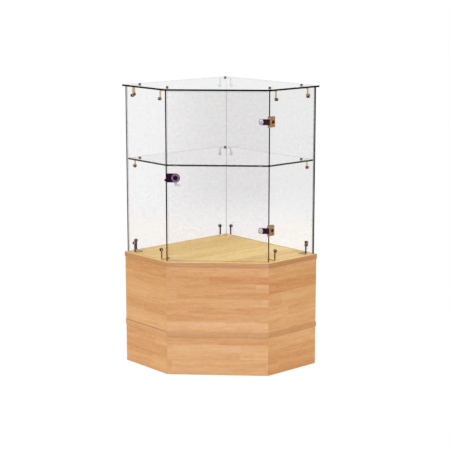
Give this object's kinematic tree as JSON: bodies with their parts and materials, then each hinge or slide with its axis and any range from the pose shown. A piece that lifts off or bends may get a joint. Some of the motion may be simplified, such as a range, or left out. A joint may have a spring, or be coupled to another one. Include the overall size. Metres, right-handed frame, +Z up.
{
  "type": "corner display case",
  "caption": "Five-sided glass corner showcase on a beech-faced base, with a glass shelf, a hinged glass door and a cam lock.",
  "frame": {"origin": "centre of the bounding box in plan, at floor level", "axes": "+Z up, the door faces -Y, the back corner points to +Y, +X to the right as seen from the door"},
  "size_m": [0.6874, 0.5094, 1.0045],
  "materials": {
    "beech_panel": "satin beech laminate",
    "beech_board": "satin beech laminate",
    "beech_edge": "satin beech lipping",
    "pine": "sawn softwood",
    "clear_glass": "clear float glass with polished edges",
    "polished_brass": "polished brass",
    "dark_chrome": "dark chrome",
    "bright_steel": "bright steel",
    "clear_plastic": "clear plastic",
    "dark_bronze": "dark bronzed brass"
  },
  "bodies": {
    "cabinet": {"top_board": "beech_board", "top_board_lipping": "beech_edge", "floor_board": "beech_board", "floor_board_lipping": "beech_edge", "front_panel": "beech_panel", "left_panel": "beech_panel", "right_panel": "beech_panel", "back_left_panel": "beech_panel", "back_right_panel": "beech_panel", "plinth_front": "beech_panel", "plinth_left": "beech_panel", "plinth_right": "beech_panel", "plinth_back_left": "beech_panel", "plinth_back_right": "beech_panel", "corner_blocks": "pine", "carcass_dowels": "pine", "glass_top": "clear_glass", "glass_shelf": "clear_glass", "glass_back_left": "clear_glass", "glass_back_right": "clear_glass", "glass_left": "clear_glass", "glass_right": "clear_glass", "top_connector_back": "polished_brass", "top_connector_left": "polished_brass", "top_connector_right": "polished_brass", "top_connector_front_left": "polished_brass", "top_connector_front_right": "polished_brass", "shelf_connector_back": "polished_brass", "shelf_connector_left": "polished_brass", "shelf_connector_right": "polished_brass", "base_connector_back": "dark_bronze", "base_connector_left": "dark_bronze", "base_connector_right": "dark_bronze", "base_connector_front_left": "dark_bronze", "base_connector_front_right": "dark_bronze", "connector_screws": "dark_bronze", "connector_washers": "clear_plastic", "board_screws": "bright_steel", "upper_hinge_pane_leaf": "polished_brass", "upper_hinge_pin": "polished_brass", "lower_hinge_pane_leaf": "polished_brass", "lower_hinge_pin": "polished_brass", "hinge_pane_backplates": "polished_brass", "hinge_pane_screws": "polished_brass", "pane_gaskets": "clear_plastic", "lock_keeper": "dark_chrome", "shelf_buffers": "clear_plastic"},
    "door": {"glass_door": "clear_glass", "upper_hinge_door_leaf": "dark_chrome", "lower_hinge_door_leaf": "dark_chrome", "hinge_door_backplates": "dark_chrome", "hinge_door_screws": "dark_chrome", "door_gaskets": "clear_plastic", "lock_case": "dark_chrome", "lock_ring_nut": "dark_chrome"},
    "lock_plug": {"lock_plug": "bright_steel", "lock_cam": "bright_steel", "lock_cam_nut": "bright_steel"}
  },
  "joints": [
    {"name": "door_hinge", "type": "hinge", "parent": "cabinet", "child": "door", "pos_m": [0.17356, -0.25067, 0.7], "axis": [0, 0, 1], "range_deg": [0, 110]},
    {"name": "lock_turn", "type": "hinge", "parent": "door", "child": "lock_plug", "pos_m": [-0.14334, -0.24667, 0.697], "axis": [0, 1, 0], "range_deg": [0, 90]}
  ]
}
